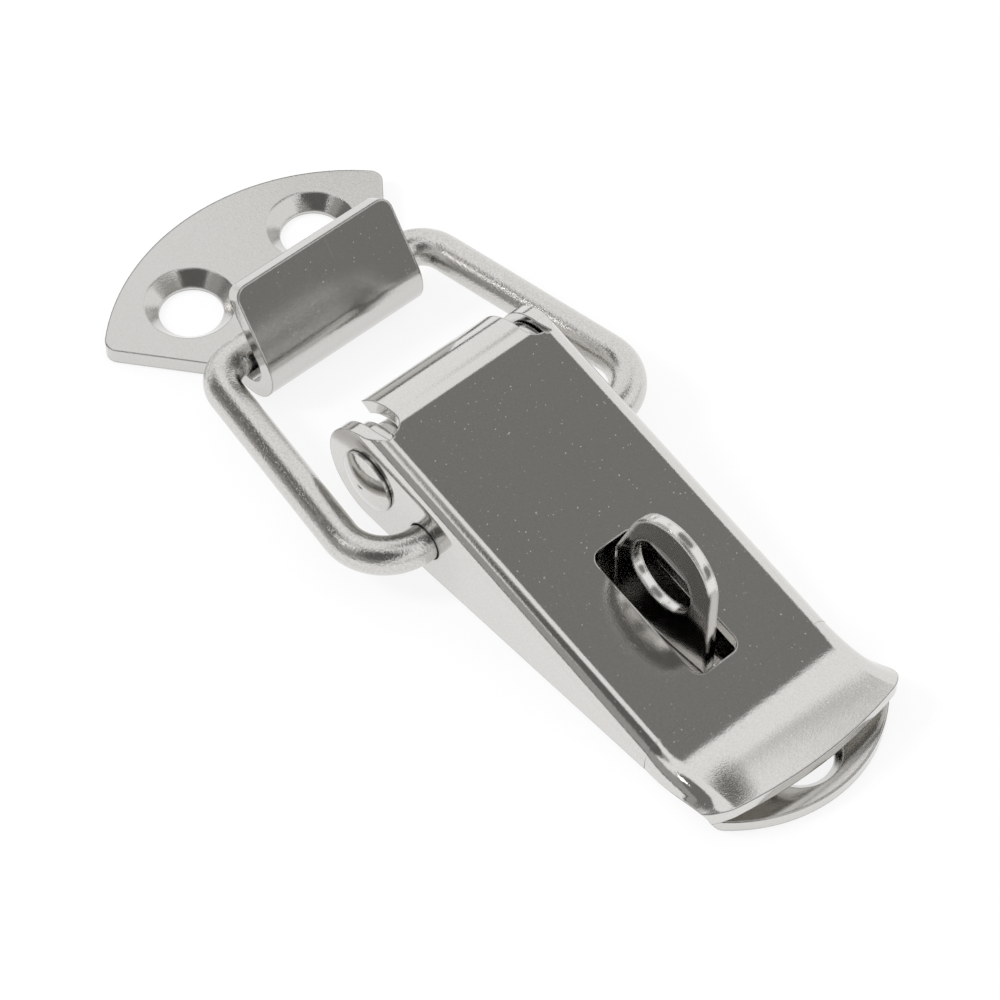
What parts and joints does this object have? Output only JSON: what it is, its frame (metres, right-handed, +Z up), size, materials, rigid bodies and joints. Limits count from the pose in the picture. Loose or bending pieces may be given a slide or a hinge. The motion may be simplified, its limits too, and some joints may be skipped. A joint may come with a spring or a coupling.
{
  "type": "over centre toggle latch",
  "caption": "Sheet-metal over centre toggle latch: channel lever on a folded base, wire bail that pulls on a hooked fan-shaped catch plate, and a padlock staple through the lever.",
  "frame": {"origin": "on the mounting plane, on the centre line, midway between the base's two screw holes", "axes": "+X along the latch from the catch plate towards the lever's handle end, +Y across it, +Z up from the mounting plane"},
  "size_m": [0.0789, 0.0322, 0.0147],
  "materials": {
    "sheet_steel": "bright polished",
    "wire_steel": "bright polished"
  },
  "bodies": {
    "base": {"base_plate": "sheet_steel", "padlock_staple": "sheet_steel", "catch_plate": "sheet_steel", "pivot_rivet": "wire_steel"},
    "lever": {"lever": "sheet_steel"},
    "bail": {"bail": "wire_steel"}
  },
  "joints": [
    {"name": "lever_hinge", "type": "hinge", "parent": "base", "child": "lever", "pos_m": [-0.0256, 0, 0.0056], "axis": [0, -1, 0], "range_deg": [0, 98]},
    {"name": "bail_hinge", "type": "hinge", "parent": "lever", "child": "bail", "pos_m": [-0.0188, 0, 0.0042], "axis": [0, 1, 0], "range_deg": [0, 79]}
  ],
  "couplings": [
    {"joint": "bail_hinge", "follows": "lever_hinge", "ratio": 0.8}
  ]
}
